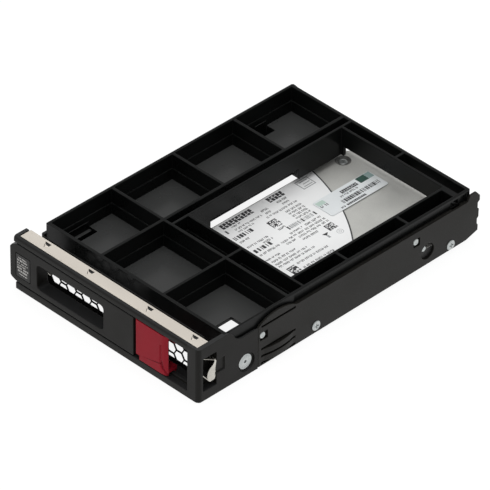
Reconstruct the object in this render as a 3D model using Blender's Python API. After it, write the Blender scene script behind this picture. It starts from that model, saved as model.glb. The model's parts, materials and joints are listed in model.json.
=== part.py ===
"""Low-profile hot-swap drive carrier with a 2.5 inch solid-state drive in it.

Every length here is in millimetres in the carrier's drawing frame: x is 0 at the outer face of the
right rail and runs negative to the left, y is 0 at the front face of the bezel and runs to the
connector end, z is 0 at the underside. DATUM moves the drawing frame so that the finished part has
its origin at the middle of its underside, and MM turns it into metres.
"""
import math

import bmesh
import bpy
from mathutils import Vector

MM = 0.001
GAP = 0.3

# Driving dimensions of the carrier.
WIDTH = 104.5
LENGTH = 158.0
HEIGHT = 26.0
RAIL_BULGE = 1.0
EAR_REACH = 3.0
DATUM = Vector(((WIDTH + EAR_REACH - RAIL_BULGE) / 2, -LENGTH / 2, 0.0))

# Bezel.
BAND_DEPTH = 6.9
BAND_BOTTOM = 23.0
SILL_TOP = 3.2
SILL_DEPTH = 9.0
POST_WIDTH = 6.3
POST_DEPTH = 12.0
POST_STEP = 21.5
CORNER_RADIUS = 2.0
ARM_END = 32.8
ARM_SHOULDER = 20.0
ARM_THIN = 1.05
ARM_THICK = 2.2
ARM_THICK_TOP = 11.4
ARM_THICK_END = 31.4
ARM_LAP = 31.6
ARM_SKIN = 0.55
TOP_WALL = 2.0
TOP_WALL_END = 14.9
LEFT_ARM_START = 14.5
LEFT_LIP = 0.7

# Contact strip on the bezel's top.
STRIP_FRONT = 1.7
STRIP_THICKNESS = 0.3
STRIP_LEFT = -103.1
STRIP_RIGHT = -2.3
LANCE_XS = (-91.7, -66.8, -33.2, -7.9)

# Honeycomb vent.
VENT_FRONT = 9.3
VENT_THICKNESS = 0.5
VENT_HOLES_BOTTOM = 4.7
VENT_HOLES_TOP = 23.0
HEX_COLUMNS = 19
HEX_FIRST_X = -90.95
HEX_FIRST_Z = 6.95
HEX_PITCH_X = 4.4
HEX_PITCH_Z = 5.08
HEX_RIB = 0.5

# Lever and its hinge.
HINGE_X = -100.0
HINGE_Y = 5.5
PIN_RADIUS = 1.0
KNUCKLE_RADIUS = 3.0
LEVER_BOTTOM = 3.8
LEVER_TOP = 22.5
LEVER_RIGHT = -36.6
LEVER_DEPTH = 6.0

# Release latch.
LATCH_LEFT = -36.3
LATCH_RIGHT = -17.5
LATCH_BOTTOM = 3.5
LATCH_TOP = 22.6
GUIDE_FRONT = 2.7
GUIDE_BACK = 4.4
SPRING_Y = 6.55
SPRING_Z = 19.2

# Tray.
TRAY_LEFT = -102.8
TRAY_RIGHT = -1.35
TRAY_FRONT = 15.3
TRAY_BACK = 153.4
TRAY_RIM = 25.45
LIP_Z = 24.2
TRAY_UNDERSIDE = 11.8
FLOOR_TOP = 13.4
LEDGE_Z = 18.65
LEDGE = 0.45

# Rails.
RAIL_START = 33.15
RAIL_TOP = 20.6
RAIL_BOTTOM_FRONT = 0.5
RAIL_BOTTOM_REAR = 1.9
RAIL_THICKNESS = 1.0
FLANGE_DEPTH = 1.85
FLANGE_START = 54.0
FLANGE_END = 151.0
HOOK_START = 142.6
HOOK_END = 147.6
SLIT_START = 34.5
SLIT_END = 53.5
SLIT_ZS = (1.6, 5.0, 8.5, 19.6)
SLIT_HEIGHT = 1.0
LOUVRES = ((1.9, 4.7), (5.3, 8.2))
LOUVRE_ROOT = 0.3
ARM_SCREW_Y = 26.5
ARM_SCREW_Z = 6.5
ARM_HEAD_DEPTH = 0.8
LEFT_SCREW_Y = 133.8
LEFT_SCREW_Z = 6.35
RIVETS = ((35.6, 14.8), (121.75, 15.5))
RIVET_WINDOWS = ((33.75, 38.1, 12.9, 16.8), (119.9, 123.6, 13.6, 17.5))
PIN_Y = 126.4
PIN_Z = 9.7

# Drive: 69.85 x 99.95 x 7 mm, its side holes 76.6 mm apart and 3 mm up.
DRIVE_LEFT = -71.2
DRIVE_RIGHT = DRIVE_LEFT + 69.85
DRIVE_FRONT = 55.05
DRIVE_BACK = 155.0
DRIVE_CORNER = 3.0
DRIVE_BOTTOM = 1.26
DRIVE_TOP = DRIVE_BOTTOM + 7.0
SIDE_HOLE_YS = (64.9, 141.5)
SIDE_HOLE_Z = DRIVE_BOTTOM + 3.0
COVER_THICKNESS = 0.8
COVER_SCREW_INSET_X = 4.4
COVER_SCREW_INSET_FRONT = 4.6
COVER_SCREW_INSET_BACK = 7.6
DISH_DEPTH = 0.85
LABEL_ARC_CENTRE = (-92.1, 30.8)
LABEL_ARC_RADIUS = 104.8
STICKER = (-54.0, -42.2, 116.6, 149.0)
CONTACT_PITCH = 1.4

# Colour, roughness and metallic value of each material.
BLACK_PLASTIC = ("black_plastic", (0.035, 0.035, 0.034), 0.42, 0.0)
TRAY_PLASTIC = ("tray_plastic", (0.022, 0.022, 0.022), 0.3, 0.0)
BLACK_STEEL = ("black_steel", (0.045, 0.044, 0.041), 0.5, 0.2)
VENT_STEEL = ("vent_steel", (0.02, 0.02, 0.02), 0.4, 0.3)
STRIP_STEEL = ("strip_steel", (0.68, 0.64, 0.6), 0.35, 0.9)
SPRING_STEEL = ("spring_steel", (0.8, 0.79, 0.77), 0.15, 1.0)
ZINC = ("zinc", (0.72, 0.75, 0.76), 0.3, 1.0)
RED_PLASTIC = ("red_plastic", (0.24, 0.018, 0.03), 0.35, 0.0)
DRIVE_ALLOY = ("drive_alloy", (0.6, 0.6, 0.58), 0.4, 0.9)
BOARD_GREEN = ("board_green", (0.02, 0.16, 0.08), 0.45, 0.0)
CHIP_BLACK = ("chip_black", (0.02, 0.02, 0.022), 0.5, 0.0)
PAD_GREY = ("pad_grey", (0.42, 0.44, 0.5), 0.8, 0.0)
TANTALUM = ("tantalum", (0.75, 0.45, 0.08), 0.5, 0.0)
CONTACT_GOLD = ("contact_gold", (0.85, 0.62, 0.22), 0.25, 1.0)
LABEL_PAPER = ("label_paper", (0.86, 0.87, 0.87), 0.55, 0.0)
STICKER_PAPER = ("sticker_paper", (0.7, 0.78, 0.75), 0.5, 0.0)
LABEL_BLACK = ("label_black", (0.03, 0.03, 0.03), 0.6, 0.0)


# ---------------------------------------------------------------- shapes

def point(x, y, z):
    """Drawing millimetres to metres in the part's frame."""
    return (Vector((x, y, z)) + DATUM) * MM


def prism(axis, outline, low, high):
    """A shape: the outline pushed along an axis. x takes (y, z) points, y (x, z), z (x, y)."""
    def at(u, v, w):
        return {"x": (w, u, v), "y": (u, w, v), "z": (u, v, w)}[axis]

    def add(bm):
        ends = [[bm.verts.new(point(*at(u, v, w))) for u, v in outline] for w in (low, high)]
        faces = [bm.faces.new(ends[0]), bm.faces.new(ends[1])]
        count = len(outline)
        for i in range(count):
            j = (i + 1) % count
            faces.append(bm.faces.new((ends[0][i], ends[0][j], ends[1][j], ends[1][i])))
        bmesh.ops.recalc_face_normals(bm, faces=faces)
    return add


def box(x0, x1, y0, y1, z0, z1):
    return prism("z", ((x0, y0), (x1, y0), (x1, y1), (x0, y1)), z0, z1)


def arc(cx, cy, radius, start, end, steps):
    """Points on an arc, from the start angle to the end angle in degrees."""
    turn = (end - start) / steps
    angles = [math.radians(start + turn * i) for i in range(steps + 1)]
    return [(cx + radius * math.cos(a), cy + radius * math.sin(a)) for a in angles]


def circle(cx, cy, radius, sides=20):
    return arc(cx, cy, radius, 0, 360 * (sides - 1) / sides, sides - 1)


def rounded(x0, x1, y0, y1, radius, steps=3):
    """A rectangle's outline with round corners."""
    corners = ((x1 - radius, y0 + radius, -90), (x1 - radius, y1 - radius, 0),
               (x0 + radius, y1 - radius, 90), (x0 + radius, y0 + radius, 180))
    return [p for cx, cy, a in corners for p in arc(cx, cy, radius, a, a + 90, steps)]


def rod(axis, u, v, radius, low, high, sides=20):
    return prism(axis, circle(u, v, radius, sides), low, high)


def turned(axis, u, v, profile, sides=20):
    """A shape turned about an axis through (u, v); the profile lists (radius, distance along it)."""
    def at(a, b, w):
        return {"x": (w, a, b), "y": (a, w, b), "z": (a, b, w)}[axis]

    def add(bm):
        rings = [[bm.verts.new(point(*at(a, b, w))) for a, b in circle(u, v, r, sides)] for r, w in profile]
        faces = [bm.faces.new(rings[0]), bm.faces.new(rings[-1])]
        for low, high in zip(rings, rings[1:]):
            for i in range(sides):
                j = (i + 1) % sides
                faces.append(bm.faces.new((low[i], low[j], high[j], high[i])))
        bmesh.ops.recalc_face_normals(bm, faces=faces)
    return add


def swept(path, radius, sides=6):
    """A round wire along a list of points, with flat ends."""
    def add(bm):
        points = [Vector(p) for p in path]
        rings = []
        side = Vector((0.0, 0.0, 1.0))
        for i, p in enumerate(points):
            along = (points[min(i + 1, len(points) - 1)] - points[max(i - 1, 0)]).normalized()
            side = (side - along * side.dot(along)).normalized()
            across = along.cross(side)
            turns = [2 * math.pi * k / sides for k in range(sides)]
            ring = [p + (side * math.cos(t) + across * math.sin(t)) * radius for t in turns]
            rings.append([bm.verts.new(point(*q)) for q in ring])
        faces = [bm.faces.new(rings[0]), bm.faces.new(rings[-1])]
        for low, high in zip(rings, rings[1:]):
            for k in range(sides):
                m = (k + 1) % sides
                faces.append(bm.faces.new((low[k], low[m], high[m], high[k])))
        bmesh.ops.recalc_face_normals(bm, faces=faces)
    return add


# ---------------------------------------------------------------- objects

def material(spec):
    name, colour, roughness, metallic = spec
    made = bpy.data.materials.get(name)
    if made is None:
        made = bpy.data.materials.new(name)
        made.use_nodes = True
        shader = made.node_tree.nodes["Principled BSDF"]
        shader.inputs["Base Color"].default_value = (*colour, 1.0)
        shader.inputs["Roughness"].default_value = roughness
        shader.inputs["Metallic"].default_value = metallic
    return made


def mesh_object(name, shapes, origin=None):
    bm = bmesh.new()
    for shape in shapes:
        shape(bm)
    if origin is not None:
        bmesh.ops.translate(bm, vec=-origin, verts=bm.verts)
    mesh = bpy.data.meshes.new(name)
    bm.to_mesh(mesh)
    bm.free()
    made = bpy.data.objects.new(name, mesh)
    bpy.context.collection.objects.link(made)
    return made


def boolean(target, operation, shapes, suffix, pivot):
    """Join shapes to an object, or cut them out of it, with a tool object that stays hidden."""
    origin = pivot.location if pivot else None
    tool = mesh_object(f"{target.name}_{suffix}", shapes, origin)
    tool.parent = pivot
    tool.hide_render = True
    tool.display_type = "WIRE"
    modifier = target.modifiers.new(suffix, "BOOLEAN")
    modifier.object = tool
    modifier.operation = operation
    modifier.solver = "EXACT"
    modifier.use_self = len(shapes) > 1


def node(name, spec, body, add=(), cut=(), smooth=False, pivot=None):
    """One named piece: the body shape, with others joined to it and then others cut from it."""
    made = mesh_object(name, [body], pivot.location if pivot else None)
    made.parent = pivot
    made.data.materials.append(material(spec))
    if smooth:
        made.data.shade_smooth()
        made.data.set_sharp_from_angle(angle=math.radians(35))
    if add:
        boolean(made, "UNION", list(add), "additions", pivot)
    if cut:
        boolean(made, "DIFFERENCE", list(cut), "cutters", pivot)
    return made


def axis_empty(name, x, y, z):
    made = bpy.data.objects.new(name, None)
    made.location = point(x, y, z)
    bpy.context.collection.objects.link(made)
    return made


# ---------------------------------------------------------------- bezel

def arm_profile():
    """The right arm from the side: full height at the front, an S down to the rail's height."""
    top = arc(15.0, HEIGHT - 5.0, 5.0, 90, 35, 4) + arc(24.2, ARM_SHOULDER + 5.0, 5.0, 220, 270, 4)
    return [(0, 0), (ARM_END, 0), (ARM_END, ARM_SHOULDER)] + top[::-1] + [(0, HEIGHT)]


def band_profile():
    """The top band from the side, with its front upper edge rounded."""
    nose = arc(1.3, HEIGHT - 1.3, 1.3, 180, 90, 4)
    return [(BAND_DEPTH, BAND_BOTTOM), (0, BAND_BOTTOM)] + nose + [(BAND_DEPTH, HEIGHT)]


def front_frame():
    left = -WIDTH
    seat = ARM_HEAD_DEPTH + 0.15
    sink = ((1.9, ARM_THICK + 1), (1.9, 2.15), (3.75, seat), (4.4, seat), (4.4, -1))
    right_sink = [(radius, -depth) for radius, depth in sink]
    left_sink = [(radius, left + depth) for radius, depth in sink]
    round_corner = [(-CORNER_RADIUS, -1), (1, -1), (1, CORNER_RADIUS)]
    round_corner += arc(-CORNER_RADIUS, CORNER_RADIUS, CORNER_RADIUS, 0, -90, 6)
    additions = [
        prism("x", band_profile(), left - LEFT_LIP, 0),
        box(-POST_WIDTH, 0, 0, POST_DEPTH, 0, HEIGHT),
        prism("x", arm_profile(), -ARM_THIN, 0),
        box(-TOP_WALL, -0.2, BAND_DEPTH - 1, TOP_WALL_END, ARM_THICK_TOP - 1, HEIGHT),
        box(-ARM_THICK, -0.2, 4, ARM_THICK_END, 0, ARM_THICK_TOP),
        box(left, left + ARM_THIN + 0.35, LEFT_ARM_START, ARM_END, 0, ARM_SHOULDER),
        box(left, left + ARM_THICK, 4, ARM_THICK_END, 0, SILL_TOP),
        box(left + 0.2, left + ARM_THICK, LEFT_ARM_START, ARM_THICK_END, 0, ARM_THICK_TOP),
        box(LATCH_LEFT, -POST_WIDTH + 1, GUIDE_FRONT, GUIDE_BACK, SILL_TOP - 1, 4.6),
        box(LATCH_LEFT, -POST_WIDTH + 1, GUIDE_FRONT, GUIDE_BACK, 21.6, BAND_BOTTOM + 1),
    ]
    cuts = [
        box(STRIP_LEFT - GAP, STRIP_RIGHT + GAP, STRIP_FRONT - GAP, BAND_DEPTH + 1, HEIGHT - 0.6, HEIGHT + 1),
        box(-POST_WIDTH - 1, -TOP_WALL, BAND_DEPTH, POST_DEPTH + 1, POST_STEP, HEIGHT + 1),
        prism("z", round_corner, -1, HEIGHT + 1),
        box(-3.4, 1, 2.6, 10, 4.6, 20.7),
        box(-0.6, 1, 9, 14.4, 9.9, 16.4),
        box(-3, -ARM_SKIN, ARM_LAP, ARM_END + 1, -1, HEIGHT + 1),
        box(left + ARM_SKIN, left + 3, ARM_LAP, ARM_END + 1, -1, HEIGHT + 1),
        rod("z", HINGE_X, HINGE_Y, PIN_RADIUS + 0.1, -1, 24.6),
        turned("x", ARM_SCREW_Y, ARM_SCREW_Z, right_sink),
        turned("x", ARM_SCREW_Y, ARM_SCREW_Z, left_sink),
    ]
    node("front_frame", BLACK_PLASTIC, box(left, 0, 0, SILL_DEPTH, 0, SILL_TOP), additions, cuts)


def clipped(outline, floor):
    """A convex (x, z) outline with everything under the floor cut away."""
    kept = []
    for i, (x1, z1) in enumerate(outline):
        x0, z0 = outline[i - 1]
        if (z0 < floor) != (z1 < floor):
            kept.append((x0 + (x1 - x0) * (floor - z0) / (z1 - z0), floor))
        if z1 >= floor:
            kept.append((x1, z1))
    return kept


def honeycomb_vent():
    bottom, top = 0.6, 24.4
    radius = (HEX_PITCH_Z - HEX_RIB) / math.sqrt(3)
    back = VENT_FRONT + VENT_THICKNESS + 1
    holes = []
    for column in range(HEX_COLUMNS):
        x = HEX_FIRST_X + HEX_PITCH_X * column
        z = HEX_FIRST_Z - HEX_PITCH_Z / 2 * (column % 2)
        while z + radius < VENT_HOLES_TOP:
            outline = clipped(circle(x, z, radius, 6), VENT_HOLES_BOTTOM)
            holes.append(prism("y", outline, VENT_FRONT - 1, back))
            z += HEX_PITCH_Z
    plate = box(-98.0, -POST_WIDTH - GAP, VENT_FRONT, VENT_FRONT + VENT_THICKNESS, bottom, top)
    node("honeycomb_vent", VENT_STEEL, plate, cut=holes)


def emi_strip():
    back = BAND_DEPTH + GAP + STRIP_THICKNESS
    profile = ((STRIP_FRONT, HEIGHT), (STRIP_FRONT, HEIGHT - STRIP_THICKNESS),
               (BAND_DEPTH + GAP, HEIGHT - STRIP_THICKNESS), (BAND_DEPTH + GAP, BAND_BOTTOM - 0.2),
               (back, BAND_BOTTOM - 0.2), (back, HEIGHT))
    lances = [prism("z", ((x - 1.8, 6.3), (x + 1.8, 6.2), (x + 1.6, 4.8), (x + 0.9, 4.7)), 25.5, 27)
              for x in LANCE_XS]
    node("emi_strip", STRIP_STEEL, prism("x", profile, STRIP_LEFT, STRIP_RIGHT), cut=lances)


def side_spring():
    """The contact finger in the right post's slot: a folded strip that bows out and turns back in."""
    middle = ((-3.0, 19.9), (-1.7, 19.4), (-0.45, 17.0), (-0.75, 11.5), (-1.6, 8.5), (-1.0, 6.7))
    half = 0.13
    outer = [(x + half, z + half) for x, z in middle]
    inner = [(x - half, z - half) for x, z in middle]
    taper = [prism("x", ((y, 6.0), (y + s * 3, 6.0), (y + s * 3, 12.0)), -4, 1)
             for y, s in ((6.0, -1), (8.2, 1))]
    node("side_spring", SPRING_STEEL, prism("y", outer + inner[::-1], 4.6, 9.5), cut=taper)


# ---------------------------------------------------------------- lever and latch

def lever_outline():
    """The lever's face from the front: a plate with the ear's bevelled corners at the left."""
    ear = -WIDTH - EAR_REACH
    return [(LEVER_RIGHT, LEVER_BOTTOM), (LEVER_RIGHT, LEVER_TOP), (-103.8, LEVER_TOP),
            (-104.6, 21.9), (-106.6, 20.9), (ear, 19.8), (ear, 5.4), (-106.9, 4.7), (-104.4, LEVER_BOTTOM)]


def lever(pivot):
    face = prism("y", lever_outline(), 0, 2.2)
    x, y = HINGE_X, HINGE_Y
    additions = [
        box(-97.5, LEVER_RIGHT, 1, LEVER_DEPTH, LEVER_BOTTOM + 0.01, 5.4),
        box(-97.5, LEVER_RIGHT, 1, LEVER_DEPTH, 20.9, LEVER_TOP - 0.01),
        box(LEVER_RIGHT - 1.4, LEVER_RIGHT - 0.01, 1, LEVER_DEPTH, 4.5, 22),
        box(-93.0, -52.2, 1, LEVER_DEPTH - 0.02, 4.9, 21.2),
        rod("z", x, y, KNUCKLE_RADIUS, LEVER_BOTTOM + 0.02, 8.6),
        rod("z", x, y, KNUCKLE_RADIUS, 17.2, LEVER_TOP - 0.02),
        box(x - 2.2, x + 3, 1, y - 0.5, LEVER_BOTTOM + 0.03, 8.55),
        box(x - 2.2, x + 3, 1, y - 0.5, 17.25, LEVER_TOP - 0.03),
    ]
    window = rounded(-92.0, -53.7, 6.4, 18.5, 1.8)
    label_recess = box(-104.3, -95.9, -1, 0.6, 6.4, 18.1)
    cuts = [
        prism("y", window, -1, LEVER_DEPTH + 1),
        label_recess,
        rod("z", x, y, PIN_RADIUS + 0.1, 0, HEIGHT),
    ]
    node("lever", BLACK_PLASTIC, face, additions, cuts, pivot=pivot)


def lever_label(pivot):
    node("lever_label", LABEL_BLACK, box(-104.0, -96.2, 0.05, 0.3, 6.7, 17.8), pivot=pivot)


def lever_pin():
    node("lever_pin", ZINC, rod("z", HINGE_X, HINGE_Y, PIN_RADIUS, 0.4, 24.2), smooth=True)


def lever_spring(pivot):
    """Torsion spring round the pin, between the knuckles, with a leg along the lever's back."""
    turns, steps, radius = 4, 10, 1.9
    low, high = 9.4, 15.8
    path = [(HINGE_X + 8, HINGE_Y + radius, low), (HINGE_X + 4, HINGE_Y + radius, low)]
    for i in range(turns * steps + 1):
        angle = math.pi / 2 - 2 * math.pi * i / steps
        height = low + (high - low) * i / (turns * steps)
        path.append((HINGE_X + radius * math.cos(angle), HINGE_Y + radius * math.sin(angle), height))
    path.append((HINGE_X + 2.2, HINGE_Y + radius, high))
    node("lever_spring", SPRING_STEEL, swept(path, 0.35, 5), smooth=True, pivot=pivot)


def release_latch(pivot):
    """A face plate that hooks behind the frame's two guides, with its spring's housing at the top."""
    left, right = LATCH_LEFT, LATCH_RIGHT
    inner, back, hook = left + 1.0, 6.6, GUIDE_BACK + GAP
    toe_back = hook + 0.7
    face = ((left, 2.4), (left, 1.2), (left + 1.3, 0.0), (-21.2, 0.0), (-19.2, 0.25), (right, 1.0),
            (right - 1.4, 2.4))
    additions = [
        prism("z", ((inner, 2.0), (-19.7, 2.0), (-24.3, back), (inner, back)), 5.2, 21.0),
        box(inner, right - 0.2, hook, back - 0.02, 17.6, LATCH_TOP - 0.05),
        box(inner, right - 0.2, hook, toe_back, LATCH_BOTTOM + 0.05, 6.9),
        box(inner + 0.2, right - 0.4, hook + 0.02, SPRING_Y + 1.8, SPRING_Z - 1.85, SPRING_Z + 1.85),
        box(-20.5, right - 0.05, 0.9, toe_back - 0.02, 5.1, 6.85),
    ]
    cuts = [
        box(left - 1, left + 3.0, -1, 9, 3, 5.6),
        rod("x", SPRING_Y, SPRING_Z, 1.5, right - 4, right + 6, 16),
        prism("z", ((-21.5, -0.4), (-20.9, -0.4), (-21.2, 0.45)), 8.5, 17.2),
    ]
    plate = prism("z", face, LATCH_BOTTOM, LATCH_TOP)
    node("release_latch", RED_PLASTIC, plate, additions, cuts, pivot=pivot)


def latch_spring():
    """Compression spring from the pocket in the latch to the right post."""
    turns, steps, radius = 7, 8, 1.0
    start, end = LATCH_RIGHT - 3.2, -POST_WIDTH - 0.8
    path = []
    for i in range(turns * steps + 1):
        angle = 2 * math.pi * i / steps
        x = start + (end - start) * i / (turns * steps)
        path.append((x, SPRING_Y + radius * math.cos(angle), SPRING_Z + radius * math.sin(angle)))
    node("latch_spring", SPRING_STEEL, swept(path, 0.22, 5), smooth=True)


# ---------------------------------------------------------------- tray

CELL_YS = ((16.9, 50.0), (51.4, 83.8), (85.2, 118.1), (119.5, 151.9))
COLUMN_X = (-101.4, -72.7)
CHANNEL_LEFT = -71.3
CHANNEL_RIGHT = -2.6
FRONT_POCKET_RIGHT = -2.1
WINDOW = (-66.9, -9.9, 60.4, 146.2)
WINDOW_WALL = 1.2


def pocket_rectangles():
    """Plan of the cells and channels that are open from above, without the window."""
    x_left, x_right, y_front, y_back = WINDOW
    outer_left = x_left - WINDOW_WALL
    outer_right = x_right + WINDOW_WALL
    cells = [(*COLUMN_X, *ys) for ys in CELL_YS]
    cells += [(CHANNEL_LEFT, -37.35, *CELL_YS[0]), (-36.05, FRONT_POCKET_RIGHT, *CELL_YS[0])]
    front_end = y_front - WINDOW_WALL
    back_start = y_back + WINDOW_WALL
    channels = [(CHANNEL_LEFT, outer_left, 51.4, 151.9),
                (outer_left + 1.2, -37.35, 51.4, front_end), (-36.05, CHANNEL_RIGHT, 51.4, front_end),
                (outer_right, CHANNEL_RIGHT, front_end + 1.2, 83.8),
                (outer_right, CHANNEL_RIGHT, 85.2, 118.1), (outer_right, CHANNEL_RIGHT, 119.5, 144.6),
                (outer_left + 1.2, -37.95, back_start, 151.9), (-36.65, CHANNEL_RIGHT, back_start, 151.9)]
    return cells + channels


def tray():
    plan = pocket_rectangles()
    upper = [box(x0, x1, y0, y1, LEDGE_Z, 30) for x0, x1, y0, y1 in plan]
    lower = [box(x0 + LEDGE, x1 - LEDGE, y0 + LEDGE, y1 - LEDGE, FLOOR_TOP, LEDGE_Z + 1)
             for x0, x1, y0, y1 in plan]
    window = box(*WINDOW, -1, 30)
    nut_pockets = [box(-101.0, -96.2, y0, y1, z0, 16) for y0, y1, z0 in
                   ((22.0, 37.15, TRAY_UNDERSIDE + 0.3), (130.4, 137.2, 4.4))]
    nut_pockets.append(box(-99.6, -96.2, 22.0, 37.15, 4.4, 13))
    floor_opening = box(-18.8, -8.5, 27.2, 36.4, -1, 16)
    left_notch = box(CHANNEL_LEFT + LEDGE, -66, 72, 121.8, -1, 17.0)
    back_notch = box(-65.5, -11.0, 146, 151.9 - LEDGE, -1, 16.3)
    corner_notch = box(-73.4, -65, 147.8, 151.9 - LEDGE, -1, 13.7)
    flange_groove = box(-FLANGE_DEPTH - 0.1, 0, FLANGE_START - 0.3, FLANGE_END + 0.3, RAIL_TOP - 1.2, LIP_Z)
    screw_holes = [rod("x", LEFT_SCREW_Y, LEFT_SCREW_Z, 1.7, -104, -100)]
    screw_holes.append(rod("x", ARM_SCREW_Y, ARM_SCREW_Z, 1.7, -104, -99))
    screw_holes += [rod("x", y, SIDE_HOLE_Z, 1.7, -75, -71) for y in SIDE_HOLE_YS]
    rivet_holes = [rod("x", y, z, 1.35, *span) for y, z in RIVETS for span in ((-2.6, 0), (-104, -101.9))]
    pin_hole = rod("x", PIN_Y, PIN_Z, 0.9, -3.6, 0, 12)
    hook_outlines = (((143.0, 23.4), (143.0, 20.8), (146.0, 20.8)),
                     ((144.2, 23.4), (147.2, 23.4), (147.2, 20.8)))
    hook_windows = [prism("x", outline, CHANNEL_RIGHT - 0.7, 0) for outline in hook_outlines]
    additions = [
        box(-100.7, -95.2, 21.0, 38.2, 3.0, 12.6),
        box(-102.0, -95.2, 129.4, 138.2, 3.0, 12.6),
        box(-73.1, -71.5, 58.5, 71.0, 1.0, 12.6),
        box(-73.1, -71.5, 135.0, 147.5, 1.0, 12.6),
        box(-4.6, TRAY_RIGHT - 0.01, 124.6, 128.2, 8.55, 12.6),
    ]
    cuts = upper + lower + [window, floor_opening, left_notch, back_notch, corner_notch, flange_groove]
    cuts += [pin_hole] + nut_pockets + screw_holes + rivet_holes + hook_windows
    outer = box(TRAY_LEFT, TRAY_RIGHT, TRAY_FRONT, TRAY_BACK, TRAY_UNDERSIDE, TRAY_RIM)
    node("tray", TRAY_PLASTIC, outer, additions, cuts)


# ---------------------------------------------------------------- rails and fasteners

def rail_profile():
    """A rail from the side: its bottom edge climbs a little, and its rear end is notched and chamfered."""
    front = [(RAIL_START, RAIL_BOTTOM_FRONT), (150.5, RAIL_BOTTOM_REAR)]
    rear = [(157.2, 3.8), (157.3, 6.4), (156.7, 7.2), (156.7, 9.6), (157.5, 10.4), (157.6, 14.2),
            (156.9, 15.0), (156.9, 17.6), (LENGTH, 18.4), (LENGTH, 20.8), (156.0, 23.2), (152.4, 23.2),
            (151.0, RAIL_TOP)]
    hump = arc(44.0, 2.9, 20.5, 60, 118, 8)
    return front + rear + hump + [(RAIL_START, 20.2)]


def rail(name, side):
    """side is 1 for the right rail and -1 for the left one, which is its mirror image."""
    def at(depth):
        return -depth if side > 0 else -WIDTH + depth

    def span(low, high):
        return sorted((at(low), at(high)))

    plate = prism("x", rail_profile(), *span(0, RAIL_THICKNESS))
    rise = RAIL_BULGE + LOUVRE_ROOT
    middle = (SLIT_START + SLIT_END) / 2
    chord = SLIT_END - SLIT_START - 0.5
    radius = (chord ** 2 / 4 + rise ** 2) / (2 * rise)
    half_angle = math.degrees(math.asin(chord / 2 / radius))
    centre = RAIL_BULGE - radius
    bow = [(at(-(centre + radius * math.cos(math.radians(a)))), middle + radius * math.sin(math.radians(a)))
           for a in (-half_angle + half_angle * i / 5 for i in range(11))]
    bow = [(at(0.7), bow[0][1])] + bow + [(at(0.7), bow[-1][1])]
    additions = [prism("z", bow, z0, z1) for z0, z1 in LOUVRES]
    cuts = [box(*span(-2, 2), SLIT_START, SLIT_END, z - SLIT_HEIGHT / 2, z + SLIT_HEIGHT / 2)
            for z in SLIT_ZS]
    tongue = ((at(0.01), 34.4), (at(0.01), RAIL_START + 0.15), (at(2.5), 31.9), (at(2.5), 18), (at(3.5), 18),
              (at(3.5), 32.5), (at(0.99), 34.1), (at(0.99), 34.4))
    additions.append(prism("z", tongue, 1.0, 11.2))
    if side > 0:
        additions += [box(*span(0.01, FLANGE_DEPTH), y0, y1, RAIL_TOP - RAIL_THICKNESS, RAIL_TOP)
                      for y0, y1 in ((FLANGE_START, HOOK_START), (HOOK_END, FLANGE_END))]
    cuts.append(rod("x", ARM_SCREW_Y, ARM_SCREW_Z, 1.7, *span(2, 5)))
    cuts += [box(*span(-2, 3), *window) for window in RIVET_WINDOWS]
    if side > 0:
        cuts += [rod("x", y, SIDE_HOLE_Z, 1.9, *span(-2, 3)) for y in SIDE_HOLE_YS]
        cuts.append(rod("x", 128.1, 8.0, 3.75, *span(-2, 3)))
    else:
        cuts.append(rod("x", LEFT_SCREW_Y, LEFT_SCREW_Z, 1.9, *span(-2, 3)))
    node(name, BLACK_STEEL, plate, additions, cuts)


def cross_recess(x0, x1, y, z, reach=1.2, width=0.42):
    """The two slots of a cross-head recess, for cutting a screw whose axis runs along x."""
    return [box(x0, x1, y - reach, y + reach, z - width / 2, z + width / 2),
            box(x0, x1, y - width / 2, y + width / 2, z - reach, z + reach)]


def side_screw(name, y, z, outside, side, reach):
    """A pan-head screw through a rail: side is 1 where its head faces +x, -1 where it faces -x."""
    profile = ((1.4, outside - side * reach), (1.4, outside), (2.2, outside),
               (2.2, outside + side * 0.25), (1.9, outside + side * 0.5))
    recess = cross_recess(*sorted((outside + side * 0.12, outside + side * 1)), y, z)
    node(name, ZINC, turned("x", y, z, profile), cut=recess, smooth=True)


def arm_screw(name, side, face, reach):
    """A flat countersunk screw that sits a little below the face of the bezel's arm."""
    profile = ((1.4, face - side * reach), (1.4, face - side * 1.25), (1.55, face - side * 1.25),
               (3.4, face - side * 0.1), (3.45, face))
    recess = [rod("x", ARM_SCREW_Y, ARM_SCREW_Z, 1.0, *sorted((face - side * 0.8, face + side * 1)), 6)]
    node(name, ZINC, turned("x", ARM_SCREW_Y, ARM_SCREW_Z, profile, 24), cut=recess, smooth=True)


def square_nut(name, y, z, x0, x1):
    body = box(x0, x1, y - 2.4, y + 2.4, z - 1.6, z + 2.4)
    node(name, ZINC, body, cut=[rod("x", y, z, 1.65, x0 - 1, x1 + 1)])


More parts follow.
